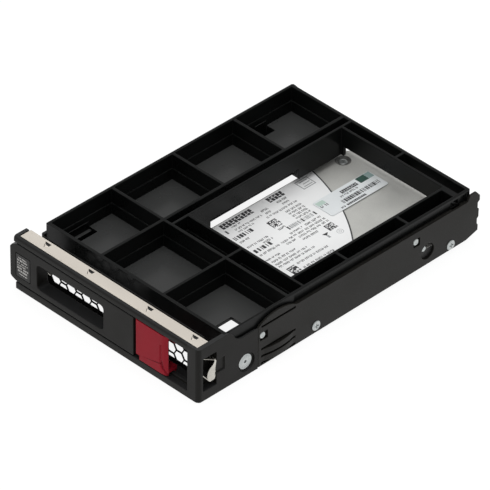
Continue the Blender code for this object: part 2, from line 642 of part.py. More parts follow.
def fasteners():
    names = ("front", "rear")
    for name, y in zip(names, SIDE_HOLE_YS):
        side_screw(f"rail_screw_{name}", y, SIDE_HOLE_Z, 0.02, 1, 4.0)
        side_screw(f"bracket_screw_{name}", y, SIDE_HOLE_Z, -73.4, -1, 4.9)
    side_screw("left_screw", LEFT_SCREW_Y, LEFT_SCREW_Z, -WIDTH - 0.02, -1, 6.6)
    square_nut("left_nut", LEFT_SCREW_Y, LEFT_SCREW_Z, -100.7, -98.4)
    for name, (y, z) in zip(names, RIVETS):
        profile = ((1.1, -2.4), (1.1, -0.9), (1.5, -0.85), (1.5, -0.5), (1.2, -0.3))
        left_profile = [(r, -WIDTH - x) for r, x in profile]
        node(f"right_rivet_{name}", ZINC, turned("x", y, z, profile, 16), smooth=True)
        node(f"left_rivet_{name}", ZINC, turned("x", y, z, left_profile, 16), smooth=True)
    arm_screw("arm_screw_right", 1, -ARM_HEAD_DEPTH, 5.6)
    arm_screw("arm_screw_left", -1, -WIDTH + ARM_HEAD_DEPTH, 6.6)
    square_nut("arm_nut_left", ARM_SCREW_Y, ARM_SCREW_Z, -99.3, -97.2)
    square_nut("arm_nut_right", ARM_SCREW_Y, ARM_SCREW_Z, -6.2, -3.8)
    pin_profile = ((0.75, -3.2), (0.75, -1.05), (1.25, -1.0), (1.25, -0.7), (0.9, -0.4))
    pin = turned("x", PIN_Y, PIN_Z, pin_profile, 16)
    node("locating_pin", ZINC, pin, smooth=True)


# ---------------------------------------------------------------- solid-state drive

BOARD_BOTTOM = 3.4
BOARD_TOP = 4.4
PART_BOTTOM = BOARD_TOP + GAP
COVER_BOTTOM = DRIVE_TOP - COVER_THICKNESS


def cover_screw_places():
    xs = (DRIVE_LEFT + COVER_SCREW_INSET_X, DRIVE_RIGHT - COVER_SCREW_INSET_X)
    ys = (DRIVE_FRONT + COVER_SCREW_INSET_FRONT, DRIVE_BACK - COVER_SCREW_INSET_BACK)
    return [(x, y) for x in xs for y in ys]


def side_bosses(margin=0.0, z0=1.6, z1=6.8):
    """Blocks behind the drive's side holes."""
    depth, half_width = 4.4 + margin, 2.7 + margin
    spans = ((DRIVE_LEFT + 0.2, DRIVE_LEFT + depth), (DRIVE_RIGHT - depth, DRIVE_RIGHT - 0.2))
    return [box(x0, x1, y - half_width, y + half_width, z0, z1) for x0, x1 in spans for y in SIDE_HOLE_YS]


def ssd_base():
    left, right, front, back = DRIVE_LEFT, DRIVE_RIGHT, DRIVE_FRONT, DRIVE_BACK
    shell = prism("z", rounded(left, right, front, back, DRIVE_CORNER), DRIVE_BOTTOM, COVER_BOTTOM - GAP)
    cavity = box(left + 1.1, right - 1.1, front + 1.1, back - 1.1, 2.1, 9)
    node_cuts = [cavity, box(-48.0, -9.0, back - 3, back + 1, 2.1, 9)]
    base = node("ssd_base", DRIVE_ALLOY, shell, cut=node_cuts)
    posts = [rod("z", x, y, 2.4, 1.8, BOARD_BOTTOM - GAP, 12) for x, y in cover_screw_places()]
    boolean(base, "UNION", posts + side_bosses(), "posts", None)
    holes = [rod("z", x, y, 1.15, 1.9, 9, 12) for x, y in cover_screw_places()]
    holes += [rod("x", y, SIDE_HOLE_Z, 1.6, *span) for y in SIDE_HOLE_YS
              for span in ((left - 1, left + 3.9), (right - 3.9, right + 1))]
    boolean(base, "DIFFERENCE", holes, "holes", None)


def ssd_cover():
    outline = rounded(DRIVE_LEFT, DRIVE_RIGHT, DRIVE_FRONT, DRIVE_BACK, DRIVE_CORNER)
    plate = prism("z", outline, COVER_BOTTOM, DRIVE_TOP)
    posts = [rod("z", x, y, 2.45, BOARD_TOP + GAP, COVER_BOTTOM + 0.2, 12) for x, y in cover_screw_places()]
    cuts = []
    for x, y in cover_screw_places():
        dish = ((2.05, DRIVE_TOP - DISH_DEPTH), (3.3, DRIVE_TOP), (3.55, DRIVE_TOP + 0.2))
        cuts.append(turned("z", x, y, dish, 20))
        cuts.append(rod("z", x, y, 1.15, 3, 8.1, 12))
    node("ssd_cover", DRIVE_ALLOY, plate, posts, cuts)


def cover_screws():
    for number, (x, y) in enumerate(cover_screw_places(), 1):
        head = DRIVE_TOP - DISH_DEPTH + 0.05
        profile = ((0.85, 2.3), (0.85, head), (1.85, head), (1.85, head + 0.2), (1.5, head + 0.45))
        slots = [box(x - 0.9, x + 0.9, y - 0.18, y + 0.18, head + 0.2, 9),
                 box(x - 0.18, x + 0.18, y - 0.9, y + 0.9, head + 0.2, 9)]
        node(f"cover_screw_{number}", ZINC, turned("z", x, y, profile, 16), cut=slots, smooth=True)


def drive_electronics():
    left, right = DRIVE_LEFT + 1.5, DRIVE_RIGHT - 1.5
    board = box(left, right, DRIVE_FRONT + 1.6, 151.5, BOARD_BOTTOM, BOARD_TOP)
    clear = [rod("z", x, y, 1.15, 3, 5, 12) for x, y in cover_screw_places()]
    clear += side_bosses(0.35, 3, 5)
    node("circuit_board", BOARD_GREEN, board, cut=clear)
    connector_x0, connector_x1 = -46.6, -10.4
    housing = box(connector_x0, connector_x1, 149.4, 155.3, PART_BOTTOM, 7.1)
    bays = [box(-45.6, -22.4, 151.4, 156, 5.3, 6.5), box(-21.0, -11.4, 151.4, 156, 5.3, 6.5)]
    node("sata_connector", CHIP_BLACK, housing, cut=bays)
    bar = box(connector_x0 + 1.5, connector_x1 - 1.5, 147.0, 147.8, PART_BOTTOM, 5.1)
    pins = [box(x - 0.3, x + 0.3, 147.5, 149.0, PART_BOTTOM + 0.02, 5.05)
            for x in (connector_x0 + 2.4 + CONTACT_PITCH * i for i in range(23))]
    node("contact_strip", CONTACT_GOLD, bar, pins)
    node("controller_chip", CHIP_BLACK, box(-46.0, -30.0, 112.0, 128.0, PART_BOTTOM, 5.9))
    node("thermal_pad", PAD_GREY, box(-45.0, -31.0, 113.0, 127.0, 6.2, COVER_BOTTOM - GAP))
    node("memory_chip", CHIP_BLACK, box(-24.0, -14.0, 114.0, 126.0, PART_BOTTOM, 5.7))
    for number in range(4):
        x = -61.0 + 13.6 * number
        node(f"flash_chip_{number + 1}", CHIP_BLACK, box(x, x + 12.0, 76.0, 94.0, PART_BOTTOM, 5.9))
    for number in range(4):
        y = 110.5 + 6.0 * number
        node(f"capacitor_{number + 1}", TANTALUM, box(-62.0, -54.7, y, y + 4.3, PART_BOTTOM, 6.7))


def labels():
    """The printed label with its curved rear edge, and the small pale sticker beyond it."""
    top = DRIVE_TOP + GAP
    left, right, front = DRIVE_LEFT + 0.9, DRIVE_RIGHT - 1.8, DRIVE_FRONT + 2.0
    start, end = (math.degrees(math.acos((x - LABEL_ARC_CENTRE[0]) / LABEL_ARC_RADIUS))
                  for x in (right, left))
    outline = [(left, front), (right, front)] + arc(*LABEL_ARC_CENTRE, LABEL_ARC_RADIUS, start, end, 14)
    node("drive_label", LABEL_PAPER, prism("z", outline, top, top + 0.1))
    sticker = prism("z", rounded(*STICKER, 0.8), top + 0.1 + GAP / 2, top + 0.2 + GAP / 2)
    node("barcode_sticker", STICKER_PAPER, sticker)


# ---------------------------------------------------------------- assembly

def build():
    for old in list(bpy.data.objects):
        bpy.data.objects.remove(old)
    lever_axis = axis_empty("lever_axis", HINGE_X, HINGE_Y, HEIGHT / 2)
    latch_axis = axis_empty("latch_axis", LATCH_RIGHT, SPRING_Y, SPRING_Z)
    front_frame()
    honeycomb_vent()
    emi_strip()
    side_spring()
    lever(lever_axis)
    lever_label(lever_axis)
    lever_pin()
    lever_spring(lever_axis)
    release_latch(latch_axis)
    latch_spring()
    tray()
    rail("right_rail", 1)
    rail("left_rail", -1)
    fasteners()
    ssd_base()
    ssd_cover()
    cover_screws()
    drive_electronics()
    labels()


build()
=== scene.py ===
"""Looks of a hot-swap drive carrier with a 2.5 inch solid-state drive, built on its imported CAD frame.

Lengths are in millimetres in the carrier's drawing frame: x is 0 at the bezel's right face and runs
negative to the left, y is 0 at the bezel's front face and runs to the connector end, z is 0 at the
underside. That frame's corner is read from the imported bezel, and MM turns lengths into metres.
"""
import json
import math
import random

import bmesh
import bpy
from mathutils import Matrix, Vector


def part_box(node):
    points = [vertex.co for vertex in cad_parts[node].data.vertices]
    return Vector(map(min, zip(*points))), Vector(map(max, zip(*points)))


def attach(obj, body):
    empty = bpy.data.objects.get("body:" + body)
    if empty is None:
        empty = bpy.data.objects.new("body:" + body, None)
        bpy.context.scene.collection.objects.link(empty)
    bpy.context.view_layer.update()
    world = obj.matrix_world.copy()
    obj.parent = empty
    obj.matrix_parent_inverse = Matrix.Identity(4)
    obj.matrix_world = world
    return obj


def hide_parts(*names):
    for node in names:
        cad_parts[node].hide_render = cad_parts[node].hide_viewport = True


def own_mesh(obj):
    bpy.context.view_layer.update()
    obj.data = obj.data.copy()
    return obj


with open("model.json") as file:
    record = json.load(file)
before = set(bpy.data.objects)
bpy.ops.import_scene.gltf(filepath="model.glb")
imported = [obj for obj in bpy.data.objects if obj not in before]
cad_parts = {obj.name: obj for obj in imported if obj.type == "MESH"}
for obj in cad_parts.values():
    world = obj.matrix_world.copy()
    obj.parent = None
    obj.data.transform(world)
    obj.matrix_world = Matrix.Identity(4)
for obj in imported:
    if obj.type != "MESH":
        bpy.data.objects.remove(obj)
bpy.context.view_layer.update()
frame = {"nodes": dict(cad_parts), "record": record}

MM = 0.001
bezel_low, bezel_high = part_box("front_frame")
CORNER = Vector((bezel_high.x, bezel_low.y, bezel_low.z))

# Surface detail, in millimetres
GRAIN_DEPTH = 0.03
SWIRL_DEPTH = 0.2
# The height over which the painted light on faces that look up fades out.
TOP_LIGHT_FADE = 2
WORN_GLOSS = 0.12

# Mesh work, in millimetres
WELD = 0.002
PRINT_HALF = 0.02

# Details placed one by one, in drawing millimetres
LANCES_X = (-91.7, -66.8, -33.2, -7.9)
SLITS_FRONT, SLITS_REAR = 34.2, 53.8
LABEL_ARC_CENTRE = (-92.1, 30.8)
LABEL_ARC_RADIUS = 104.8

# The photograph's camera: angles in degrees, distances in drawing millimetres from the frame's corner
CAMERA_AZIMUTH, CAMERA_ELEVATION, CAMERA_ROLL = 45.174, 36.798, 0.509
CAMERA_RIGHT, CAMERA_UP, CAMERA_BACK = 17.706, 62.369, 2420.98
FOCAL_LENGTH_PIXELS, PICTURE_PIXELS = 6210.4, 490
SENSOR = 36.0


def point(x, y, z):
    """Drawing millimetres to metres in the row frame."""
    return CORNER + Vector((x, y, z)) * MM


def extent(node):
    """A CAD node's lowest and highest corner in drawing millimetres."""
    low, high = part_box(node)
    return (low - CORNER) / MM, (high - CORNER) / MM


def middle(node):
    low, high = extent(node)
    return (low + high) / 2


# ---------------------------------------------------------------- materials

def wire(tree, kind, inputs=(), **settings):
    """Adds a shader node; inputs are (socket, value or output socket) pairs."""
    made = tree.nodes.new(kind)
    for key, value in settings.items():
        setattr(made, key, value)
    for socket, value in inputs:
        if isinstance(value, bpy.types.NodeSocket):
            tree.links.new(value, made.inputs[socket])
        else:
            made.inputs[socket].default_value = value
    return made


def noise(tree, place, scale, detail=4.0, rough=0.55):
    made = wire(tree, "ShaderNodeTexNoise", [("Vector", place), ("Scale", scale), ("Detail", detail),
                                             ("Roughness", rough)])
    return made.outputs["Fac"]


def ranged(tree, value, low, high, to_low, to_high):
    """Maps a value from one range to another, held at the ends."""
    inputs = [(0, value), (1, low), (2, high), (3, to_low), (4, to_high)]
    return wire(tree, "ShaderNodeMapRange", inputs).outputs[0]


def maths(tree, operation, a, b):
    return wire(tree, "ShaderNodeMath", [(0, a), (1, b)], operation=operation).outputs[0]


def mixed(tree, share, a, b):
    """A colour between a and b, by share."""
    made = wire(tree, "ShaderNodeMix", data_type="RGBA")
    for socket, value in ((0, share), (6, a), (7, b)):
        if isinstance(value, bpy.types.NodeSocket):
            tree.links.new(value, made.inputs[socket])
        else:
            made.inputs[socket].default_value = value if socket == 0 else (*value, 1.0)
    return made.outputs[2]


def worn_and_glinting_edges(tree, place, radius, spread):
    """1 along outer edges, broken up by a noise, and 0 on open faces: the mask for rubbed edges and, on
    the drive's alloy, a painted edge highlight.
    """
    bent = wire(tree, "ShaderNodeBevel", [("Radius", radius * MM)], samples=4)
    geometry = wire(tree, "ShaderNodeNewGeometry")
    match = wire(tree, "ShaderNodeVectorMath", operation="DOT_PRODUCT")
    tree.links.new(bent.outputs[0], match.inputs[0])
    tree.links.new(geometry.outputs["Normal"], match.inputs[1])
    edge = ranged(tree, match.outputs["Value"], 0.995, 0.93, 0.0, 1.0)
    patches = ranged(tree, noise(tree, place, 260.0, 5.0), 0.42, 0.62, 0.15, 1.0)
    return maths(tree, "MULTIPLY", maths(tree, "MULTIPLY", edge, patches), spread)


def painted_top_light(tree, place, height):
    """1 on faces that look up below the height, 0 elsewhere: where painted light from above lightens the
    colour.
    """
    facing = wire(tree, "ShaderNodeSeparateXYZ")
    tree.links.new(wire(tree, "ShaderNodeNewGeometry").outputs["Normal"], facing.inputs[0])
    parts = wire(tree, "ShaderNodeSeparateXYZ", [(0, place)])
    low = ranged(tree, parts.outputs[2], height * MM, (height + TOP_LIGHT_FADE) * MM, 1.0, 0.0)
    return maths(tree, "MULTIPLY", low, ranged(tree, facing.outputs[2], 0.3, 0.9, 0.0, 1.0))


def finish(name, light, dark, roughness, metallic=0.0, specular=0.5, cloud=45.0, grain=2600.0,
           relief=0.25, swirl=0.0, sheen=0.08, stretch=(1, 1, 1), edge_wear_and_glint=None, speckle=None, top_light=None):
    """A material whose colour, gloss and surface all vary: cloudy tone, fine grain, rubbed edges that on
    some looks carry a painted highlight, and painted light from above on faces that look up.

    cloud and grain are the scales of the two noises. The edge colour argument is the colour of rubbed
    edges, the edge's radius and how much of it is lightened; on the drive's alloy that colour is a
    painted highlight. speckle is a colour, a scale and a strength. The last argument is the colour, the
    specular level and the height below which faces that look up take painted light from above.
    """
    made = bpy.data.materials.new(name)
    made.use_nodes = True
    tree = made.node_tree
    shader = tree.nodes["Principled BSDF"]
    flat_place = wire(tree, "ShaderNodeTexCoord").outputs["Object"]
    place = wire(tree, "ShaderNodeMapping", [("Vector", flat_place), ("Scale", stretch)]).outputs[0]
    broad = noise(tree, place, cloud)
    fine = noise(tree, place, grain, 3.0, 0.6)
    colour = mixed(tree, ranged(tree, broad, 0.3, 0.7, 0.0, 1.0), dark, light)
    colour = mixed(tree, ranged(tree, fine, 0.35, 0.65, 0.0, 0.35), colour, light)
    if speckle:
        spots = noise(tree, flat_place, speckle[1], 2.0)
        colour = mixed(tree, ranged(tree, spots, 0.56, 0.7, 0.0, speckle[2]), colour, speckle[0])
    shader.inputs["Specular IOR Level"].default_value = specular
    # Painted light from above: faces that look up below a height take a lighter colour and specular
    # level.
    if top_light:
        lit_top = painted_top_light(tree, flat_place, top_light[2])
        colour = mixed(tree, lit_top, colour, top_light[0])
        level = ranged(tree, lit_top, 0.0, 1.0, specular, top_light[1])
        tree.links.new(level, shader.inputs["Specular IOR Level"])
    gloss = ranged(tree, broad, 0.3, 0.7, roughness - sheen, roughness + sheen)
    # Edge colour: rubbing on most looks, and a painted highlight along the rounded edges of the drive's
    # alloy.
    if edge_wear_and_glint:
        edge_rub_and_glint = worn_and_glinting_edges(tree, flat_place, edge_wear_and_glint[1], edge_wear_and_glint[2])
        colour = mixed(tree, edge_rub_and_glint, colour, edge_wear_and_glint[0])
        gloss = maths(tree, "SUBTRACT", gloss, maths(tree, "MULTIPLY", edge_rub_and_glint, WORN_GLOSS))
    tree.links.new(colour, shader.inputs["Base Color"])
    tree.links.new(gloss, shader.inputs["Roughness"])
    shader.inputs["Metallic"].default_value = metallic
    skin = wire(tree, "ShaderNodeBump", [("Strength", relief), ("Distance", GRAIN_DEPTH * MM),
                                         ("Height", fine)])
    if swirl:
        waves = noise(tree, flat_place, 160.0, 2.0)
        skin = wire(tree, "ShaderNodeBump", [("Strength", swirl), ("Distance", SWIRL_DEPTH * MM),
                                             ("Height", waves), ("Normal", skin.outputs[0])])
    tree.links.new(skin.outputs[0], shader.inputs["Normal"])
    return made


def printed(name, light, dark, roughness=0.55, cloud=300.0):
    """A printing ink."""
    return finish(name, light, dark, roughness, specular=0.3, cloud=cloud)


LOOKS = {
    # On the two black plastics, the lighter colour on faces that look up is painted light from above.
    "black_plastic": finish(
        "satin_black", (0.0082, 0.0077, 0.0067), (0.0058, 0.0055, 0.0048), 0.42, specular=0.13,
        grain=3400.0, relief=0.35, edge_wear_and_glint=((0.045, 0.044, 0.042), 0.35, 0.5),
        top_light=((0.019, 0.0193, 0.0197), 0.2, 60.0)),
    "tray_plastic": finish(
        "moulded_black", (0.0034, 0.0038, 0.0037), (0.0022, 0.0026, 0.0025), 0.3, specular=0.14,
        cloud=28.0, grain=2200.0, relief=0.1, swirl=0.04, edge_wear_and_glint=((0.03, 0.031, 0.031), 0.3, 0.6),
        top_light=((0.039, 0.04, 0.0395), 0.3, 15.0)),
    "black_steel": finish(
        "coated_steel", (0.0102, 0.0096, 0.008), (0.0075, 0.007, 0.006), 0.4, specular=0.15,
        grain=2800.0, relief=0.3, edge_wear_and_glint=((0.07, 0.068, 0.063), 0.2, 0.5),
        speckle=((0.022, 0.021, 0.019), 1500.0, 0.5)),
    "vent_steel": finish(
        "vent_black", (0.006, 0.0058, 0.0054), (0.004, 0.004, 0.004), 0.45, specular=0.15,
        edge_wear_and_glint=((0.02, 0.019, 0.018), 0.15, 0.5)),
    "strip_steel": finish(
        "strip_steel_look", (0.69, 0.64, 0.57), (0.63, 0.58, 0.515), 0.42, metallic=0.4, cloud=60.0,
        grain=1900.0, relief=0.35, stretch=(0.35, 1.0, 1.0), speckle=((0.58, 0.54, 0.48), 2600.0, 0.5)),
    "spring_steel": finish(
        "bright_steel", (0.62, 0.6, 0.55), (0.4, 0.38, 0.34), 0.25, metallic=0.9, cloud=220.0,
        relief=0.1),
    "zinc": finish(
        "zinc_plate", (0.55, 0.57, 0.56), (0.38, 0.41, 0.41), 0.34, metallic=0.7, cloud=500.0,
        grain=3800.0, relief=0.3, sheen=0.1),
    "red_plastic": finish(
        "red_moulding", (0.25, 0.0095, 0.019), (0.2, 0.0072, 0.0145), 0.36, specular=0.07, cloud=70.0,
        relief=0.14, swirl=0.05, edge_wear_and_glint=((0.4, 0.035, 0.05), 0.3, 0.5)),
    # The drive alloy's light edge colour is a painted highlight along its rounded edges.
    "drive_alloy": finish(
        "blasted_alloy", (0.57, 0.57, 0.54), (0.5, 0.5, 0.475), 0.5, metallic=0.25, specular=0.4,
        cloud=90.0, grain=3600.0, relief=0.55, edge_wear_and_glint=((0.8, 0.8, 0.78), 0.3, 0.7),
        speckle=((0.42, 0.42, 0.41), 3200.0, 0.5)),
    # A painted highlight: the light strip along the drive cover's rear edge.
    "painted_edge_highlight": finish(
        "edge_highlight_alloy", (0.93, 0.92, 0.89), (0.84, 0.83, 0.8), 0.35, metallic=0.2, cloud=300.0,
        relief=0.2),
    # Painted shade for the cover screws' dished recesses.
    "dish_shade": finish(
        "shaded_alloy", (0.2, 0.2, 0.19), (0.11, 0.11, 0.105), 0.4, metallic=0.4, cloud=600.0,
        relief=0.3),
    "board_green": finish(
        "solder_mask", (0.016, 0.13, 0.06), (0.01, 0.09, 0.045), 0.4, cloud=300.0,
        speckle=((0.45, 0.32, 0.1), 700.0, 0.6)),
    "chip_black": finish(
        "chip_moulding", (0.024, 0.024, 0.025), (0.014, 0.014, 0.015), 0.5, grain=3000.0, relief=0.4),
    "pad_grey": finish("gap_pad", (0.42, 0.44, 0.5), (0.34, 0.36, 0.42), 0.85, cloud=200.0, relief=0.5),
    "tantalum": finish("capacitor_moulding", (0.75, 0.45, 0.08), (0.6, 0.34, 0.05), 0.5, cloud=300.0),
    "contact_gold": finish(
        "gold_plate", (0.9, 0.64, 0.25), (0.78, 0.52, 0.18), 0.24, metallic=1.0, cloud=400.0),
    "label_paper": finish(
        "label_film", (0.88, 0.885, 0.885), (0.83, 0.835, 0.835), 0.5, specular=0.3, cloud=55.0,
        grain=2400.0, relief=0.12),
    "sticker_paper": finish(
        "sticker_film", (0.76, 0.79, 0.8), (0.7, 0.73, 0.74), 0.5, specular=0.3, cloud=80.0,
        grain=2400.0, relief=0.12),
    "label_black": finish(
        "label_film_black", (0.016, 0.0155, 0.015), (0.011, 0.0108, 0.0105), 0.5, specular=0.3,
        cloud=120.0, relief=0.2),
}
INK = printed("print_grey", (0.05, 0.05, 0.053), (0.03, 0.03, 0.033))
PALE_INK = printed("print_light", (0.5, 0.49, 0.47), (0.36, 0.35, 0.34), cloud=500.0)
GREEN_INK = printed("print_green", (0.05, 0.11, 0.09), (0.022, 0.055, 0.045), 0.5)
TEAL_INK = printed("print_teal", (0.3, 0.4, 0.39), (0.24, 0.34, 0.33), 0.5)
MINT_INK = printed("print_mint", (0.5, 0.62, 0.56), (0.45, 0.57, 0.51), 0.5)
SHADE_INK = printed("print_shade", (0.4, 0.41, 0.415), (0.33, 0.34, 0.345))


def slot_of(node):
    """The material slot that the record gives a CAD node."""
    return next(row["material_slot"] for row in frame["record"]["subparts"] if row["node"] == node)


# ---------------------------------------------------------------- shapes

def prism(axis, outline, low, high):
    """A shape: the outline pushed along an axis. x takes (y, z) points, y (x, z), z (x, y)."""
    def at(u, v, w):
        return {"x": (w, u, v), "y": (u, w, v), "z": (u, v, w)}[axis]

    def add(bm):
        ends = [[bm.verts.new(point(*at(u, v, w))) for u, v in outline] for w in (low, high)]
        faces = [bm.faces.new(ends[0]), bm.faces.new(ends[1])]
        for i in range(len(outline)):
            j = (i + 1) % len(outline)
            faces.append(bm.faces.new((ends[0][i], ends[0][j], ends[1][j], ends[1][i])))
        bmesh.ops.recalc_face_normals(bm, faces=faces)
    return add


def box(x0, x1, y0, y1, z0, z1):
    return prism("z", ((x0, y0), (x1, y0), (x1, y1), (x0, y1)), z0, z1)


def arc(cx, cy, radius, start, end, steps):
    """Points on a circle from one angle to another, in degrees."""
    turn = (end - start) / steps
    angles = [math.radians(start + turn * i) for i in range(steps + 1)]
    return [(cx + radius * math.cos(a), cy + radius * math.sin(a)) for a in angles]


def circle(cx, cy, radius, sides=40):
    return arc(cx, cy, radius, 0, 360 * (sides - 1) / sides, sides - 1)


def raised(outline, low, tops):
    """A flat-bottomed slab over an (x, y) outline whose top has its own height at every corner."""
    def add(bm):
        lower = [bm.verts.new(point(x, y, low)) for x, y in outline]
        upper = [bm.verts.new(point(x, y, z)) for (x, y), z in zip(outline, tops)]
        count = len(outline)
        faces = []
        for ring in (lower, upper):
            faces += [bm.faces.new((ring[0], ring[i], ring[i + 1])) for i in range(1, count - 1)]
        faces += [bm.faces.new((lower[i], lower[(i + 1) % count], upper[(i + 1) % count], upper[i]))
                  for i in range(count)]
        bmesh.ops.recalc_face_normals(bm, faces=faces)
    return add


def rounded(x0, x1, y0, y1, radius, steps=6):
    """A rectangle's outline with round corners."""
    corners = ((x1 - radius, y0 + radius, -90), (x1 - radius, y1 - radius, 0),
               (x0 + radius, y1 - radius, 90), (x0 + radius, y0 + radius, 180))
    return [p for cx, cy, a in corners for p in arc(cx, cy, radius, a, a + 90, steps)]


def turned(axis, u, v, profile, sides=48):
    """A shape turned about an axis through (u, v); the profile lists (radius, distance along it)."""
    def at(a, b, w):
        return {"x": (w, a, b), "y": (a, w, b), "z": (a, b, w)}[axis]

    def add(bm):
        rings = [[bm.verts.new(point(*at(a, b, w))) for a, b in circle(u, v, r, sides)]
                 for r, w in profile]
        faces = [bm.faces.new(rings[0]), bm.faces.new(rings[-1])]
        for low, high in zip(rings, rings[1:]):
            for i in range(sides):
                j = (i + 1) % sides
                faces.append(bm.faces.new((low[i], low[j], high[j], high[i])))
        bmesh.ops.recalc_face_normals(bm, faces=faces)
    return add


def swept(path, radius, sides=12):
    """A round bar along a list of points, with flat ends."""
    def add(bm):
        points = [Vector(p) for p in path]
        rings = []
        side = Vector((0.31, 0.2, 0.93))
        for i, p in enumerate(points):
            along = (points[min(i + 1, len(points) - 1)] - points[max(i - 1, 0)]).normalized()
            side = (side - along * side.dot(along)).normalized()
            across = along.cross(side)
            turns = [2 * math.pi * k / sides for k in range(sides)]
            ring = [p + (side * math.cos(t) + across * math.sin(t)) * radius for t in turns]
            rings.append([bm.verts.new(point(*q)) for q in ring])
        faces = [bm.faces.new(rings[0]), bm.faces.new(rings[-1])]
        for low, high in zip(rings, rings[1:]):
            for k in range(sides):
                m = (k + 1) % sides
                faces.append(bm.faces.new((low[k], low[m], high[m], high[k])))
        bmesh.ops.recalc_face_normals(bm, faces=faces)
    return add


def leaf(stations, thickness):
    """A bent strip of sheet. Each station is (x, z, y at one edge, y at the other)."""
    def add(bm):
        rows = []
        for i, (x, z, y0, y1) in enumerate(stations):
            before, after = stations[max(i - 1, 0)], stations[min(i + 1, len(stations) - 1)]
            along = Vector((after[0] - before[0], 0.0, after[1] - before[1])).normalized()
            out = Vector((-along.z, 0.0, along.x)) * thickness / 2
            corners = ((x, y0, z, 1), (x, y1, z, 1), (x, y1, z, -1), (x, y0, z, -1))
            rows.append([bm.verts.new(point(*(Vector((a, b, c)) + out * s))) for a, b, c, s in corners])
        faces = [bm.faces.new(rows[0]), bm.faces.new(rows[-1])]
        for low, high in zip(rows, rows[1:]):
            for k in range(4):
                m = (k + 1) % 4
                faces.append(bm.faces.new((low[k], low[m], high[m], high[k])))
        bmesh.ops.recalc_face_normals(bm, faces=faces)
    return add


def spline(points, steps):
    """A smooth curve through a list of equal-length tuples."""
    out = []
    for i in range(len(points) - 1):
        a, b = points[max(i - 1, 0)], points[i]
        c, d = points[i + 1], points[min(i + 2, len(points) - 1)]
        for k in range(steps):
            t = k / steps
            out.append(tuple(0.5 * (2 * q + (r - p) * t + (2 * p - 5 * q + 4 * r - s) * t * t
                                    + (3 * q - p - 3 * r + s) * t ** 3)
                             for p, q, r, s in zip(a, b, c, d)))
    return out + [points[-1]]


# ---------------------------------------------------------------- pieces

def mesh_object(name, shapes):
    bm = bmesh.new()
    for shape in shapes:
        shape(bm)
    mesh = bpy.data.meshes.new(name)
    bm.to_mesh(mesh)
    bm.free()
    made = bpy.data.objects.new(name, mesh)
    bpy.context.scene.collection.objects.link(made)
    return made


def bake_modifiers(made):
    """Turns a piece's modifiers into mesh."""
    bpy.context.view_layer.update()
    graph = bpy.context.evaluated_depsgraph_get()
    result = bpy.data.meshes.new_from_object(made.evaluated_get(graph))
    made.modifiers.clear()
    made.data = result


def cleaned(mesh):
    """Joins split corners and flat neighbours, so that only the real edges stay."""
    bm = bmesh.new()
    bm.from_mesh(mesh)
    bmesh.ops.remove_doubles(bm, verts=bm.verts, dist=WELD * MM)
    bmesh.ops.dissolve_limit(bm, angle_limit=math.radians(0.6), verts=bm.verts, edges=bm.edges)
    bmesh.ops.triangulate(bm, faces=bm.faces)
    bm.to_mesh(mesh)
    bm.free()


def rounded_edges(made, width, segments, angle):
    """Bevels a piece's sharp edges for good, and keeps it inside the box it had."""
    before = [Vector(c) for c in made.bound_box]
    edges = made.modifiers.new("edges", "BEVEL")
    edges.width = width * MM
    edges.segments = segments
    edges.limit_method = "ANGLE"
    edges.angle_limit = math.radians(angle)
    edges.use_clamp_overlap = False
    bake_modifiers(made)
    for vertex in made.data.vertices:
        for i in range(3):
            vertex.co[i] = min(max(vertex.co[i], before[0][i]), before[6][i])


def combine(target, operation, shapes):
    """Joins shapes to an object, or cuts them out of it, for good."""
    tool = mesh_object("tool", shapes)
    modifier = target.modifiers.new(operation, "BOOLEAN")
    modifier.object = tool
    modifier.operation = operation
    modifier.solver = "EXACT"
    modifier.use_self = len(shapes) > 1
    bake_modifiers(target)
    bpy.data.objects.remove(tool)


def place(made, look, body, nodes, slot, bevel=0.0, segments=2, angle=30.0):
    """Rounds a piece's edges, gives it its finish and fixes it to its body."""
    made.data.materials.clear()
    made.data.materials.append(look)
    made.data.shade_smooth()
    if bevel:
        rounded_edges(made, bevel, segments, angle)
        made.data.shade_smooth()
        normals = made.modifiers.new("normals", "WEIGHTED_NORMAL")
        normals.keep_sharp = True
        normals.weight = 90
    else:
        made.data.set_sharp_from_angle(angle=math.radians(angle))
    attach(made, body)
    if nodes:
        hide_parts(*nodes)
    return made


def piece(name, shapes, look, body="carrier", nodes=(), slot=None, cut=(), **edges):
    """A piece made of shapes, standing in for the CAD nodes it is given."""
    made = mesh_object(name, shapes)
    if cut:
        combine(made, "DIFFERENCE", cut)
        cleaned(made.data)
    return place(made, look, body, nodes, slot or slot_of(nodes[0]), **edges)


def dressed(node, name, bevel, joined=(), cut=(), body="carrier", **edges):
    """A refined copy of a CAD node: welded, with rounded edges and any finer shapes added."""
    made = bpy.data.objects.new(name, frame["nodes"][node].data.copy())
    bpy.context.scene.collection.objects.link(made)
    cleaned(made.data)
    if joined:
        combine(made, "UNION", joined)
    if cut:
        combine(made, "DIFFERENCE", cut)
    if joined or cut:
        cleaned(made.data)
    return place(made, LOOKS[slot_of(node)], body, [node], slot_of(node), bevel=bevel, **edges)


# ---------------------------------------------------------------- bezel and its contacts

def bezel():
    """The bezel and the perforated plate behind it."""
    dressed("front_frame", "bezel", 0.22)
    dressed("honeycomb_vent", "vent_plate", 0.0)


